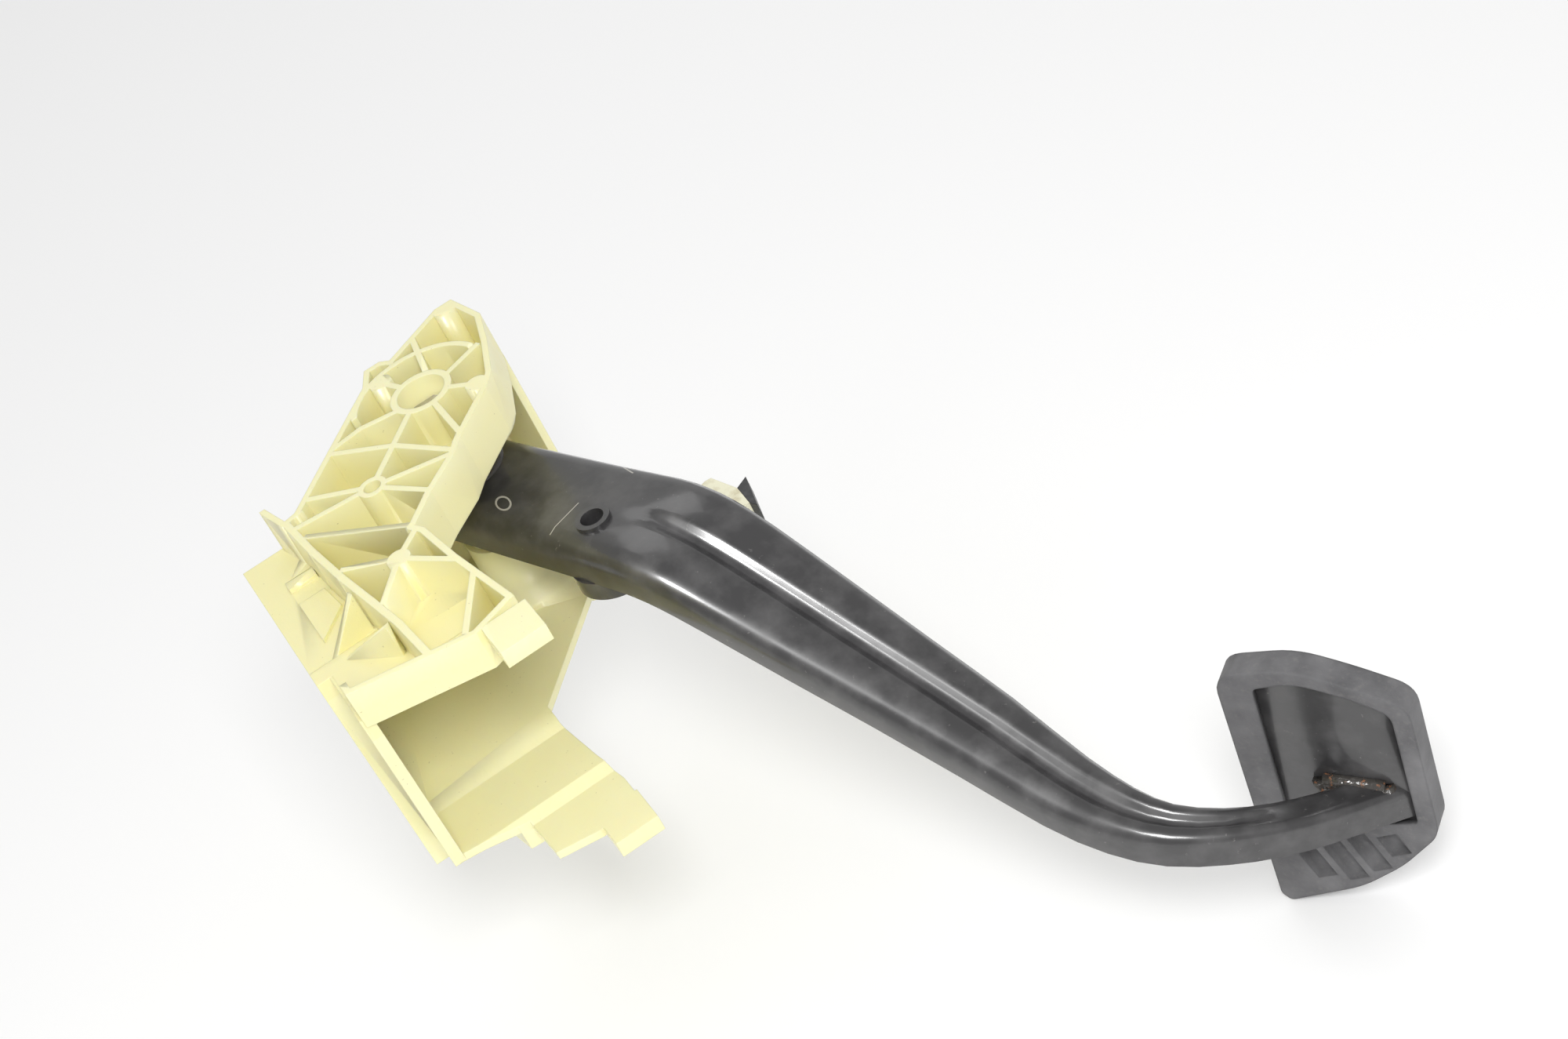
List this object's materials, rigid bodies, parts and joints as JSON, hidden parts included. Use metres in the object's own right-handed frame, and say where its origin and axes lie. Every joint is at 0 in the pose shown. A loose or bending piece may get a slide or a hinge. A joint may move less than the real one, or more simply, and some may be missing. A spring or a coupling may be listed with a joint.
{
  "type": "brake_pedal",
  "caption": "Car brake pedal: black stamped steel arm with a rubber pad, swinging on a cross bolt in a ribbed cream plastic bulkhead bracket, worn.",
  "frame": {"origin": "centre of the stud pattern on the base's mounting face", "axes": "+X away from the bulkhead, +Y up in the car, +Z along the pivot bolt towards the outer cheek"},
  "size_m": [0.2537, 0.3134, 0.1866],
  "materials": {
    "nylon": "natural moulded nylon, waxy, yellowed",
    "bush_plastic": "moulded, satin",
    "dark_plastic": "moulded, matte",
    "steel": "zinc plated, dull",
    "black_paint": "satin dip coat, scuffed",
    "rusty_weld": "coated weld with rust",
    "rubber": "matte, dusty"
  },
  "bodies": {
    "bracket": {"bracket": "nylon", "base_sleeves": "steel", "pivot_bolt": "steel", "pivot_washer": "steel", "pivot_nut": "steel", "pivot_spacer": "steel"},
    "pedal": {"outer_bush": "bush_plastic", "inner_bush": "bush_plastic", "hub_tube": "black_paint", "arm_channel": "black_paint", "arm_back_plate": "black_paint", "pushrod_bush": "black_paint", "pushrod_boss": "black_paint", "pad_plate": "black_paint", "pad_rubber": "rubber", "pad_weld": "rusty_weld", "hub_weld": "rusty_weld", "switch_clip": "bush_plastic", "switch_tip": "dark_plastic"}
  },
  "joints": [
    {"name": "pedal_swing", "type": "hinge", "parent": "bracket", "child": "pedal", "pos_m": [0.08, 0.049, 0], "axis": [0, 0, -1], "range_deg": [0, 20]}
  ]
}
